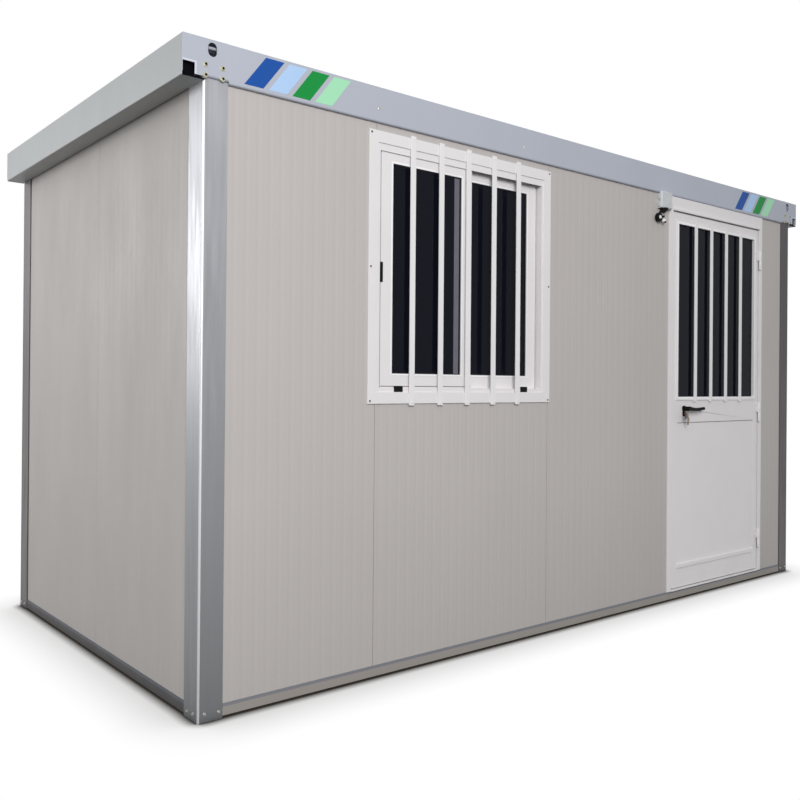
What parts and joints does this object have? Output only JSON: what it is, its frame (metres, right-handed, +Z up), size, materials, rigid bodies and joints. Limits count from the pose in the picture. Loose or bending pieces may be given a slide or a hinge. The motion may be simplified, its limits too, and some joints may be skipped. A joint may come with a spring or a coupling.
{
  "type": "office container",
  "caption": "Flat-roofed site cabin of ribbed sandwich panels in a folded steel frame, with a barred sliding window and a barred, half-glazed door that opens outward.",
  "frame": {"origin": "middle of the cabin's footprint, on the ground", "axes": "+X along the length towards the door end, -Y out of the front wall with the window and door, +Z up"},
  "size_m": [4.13, 2.099, 2.315],
  "materials": {
    "frame_steel": "satin galvanised and painted sheet",
    "post_steel": "satin galvanised sheet",
    "panel": "matt coated sheet with fine ribs",
    "roof_sheet": "satin coated sheet",
    "white_frame": "satin white paint",
    "white_grille": "satin white paint",
    "glass": "dark clear glass",
    "floor_board": "coated plywood",
    "black_fittings": "satin black",
    "grey_plastic": "matt grey"
  },
  "bodies": {
    "cabin": {"base_side_rails": "frame_steel", "base_end_rails": "frame_steel", "floor_joists": "frame_steel", "floor_deck": "floor_board", "corner_post_front_left": "post_steel", "corner_post_front_right": "post_steel", "corner_post_back_left": "post_steel", "corner_post_back_right": "post_steel", "front_panel_left": "panel", "front_panel_under_window": "panel", "front_panel_over_window": "panel", "front_panel_middle": "panel", "front_panel_right": "panel", "back_panel_1": "panel", "back_panel_2": "panel", "back_panel_3": "panel", "back_panel_4": "panel", "left_end_panels": "panel", "right_end_panels": "panel", "roof_beam_front": "frame_steel", "roof_beam_back": "frame_steel", "end_channel_left": "frame_steel", "end_channel_right": "frame_steel", "roof_corners_front": "frame_steel", "roof_corners_back": "frame_steel", "roof_panel": "roof_sheet", "window_frame": "white_frame", "window_sash_left": "white_frame", "window_sash_right": "white_frame", "window_glass": "glass", "window_grille": "white_grille", "door_jambs": "white_frame", "door_head": "white_frame", "door_sill": "frame_steel", "door_hinges": "white_frame", "inlet_box": "grey_plastic", "inlet_cap": "black_fittings"},
    "door": {"door_leaf": "white_frame", "door_glass": "glass", "door_infill": "white_frame", "door_grille": "white_grille", "door_hinge_leaves": "white_frame", "door_lock": "black_fittings"},
    "lever": {"door_lever": "black_fittings"}
  },
  "joints": [
    {"name": "door_swing", "type": "hinge", "parent": "cabin", "child": "door", "pos_m": [1.6235, -1.036, 1.07], "axis": [0, 0, 1], "range_deg": [0, 110]},
    {"name": "lever_turn", "type": "hinge", "parent": "door", "child": "lever", "pos_m": [0.852, -1.055, 1.033], "axis": [0, 1, 0], "range_deg": [0, 35], "stiffness_Nm_per_rad": 1.5, "springref_deg": -28.65}
  ]
}
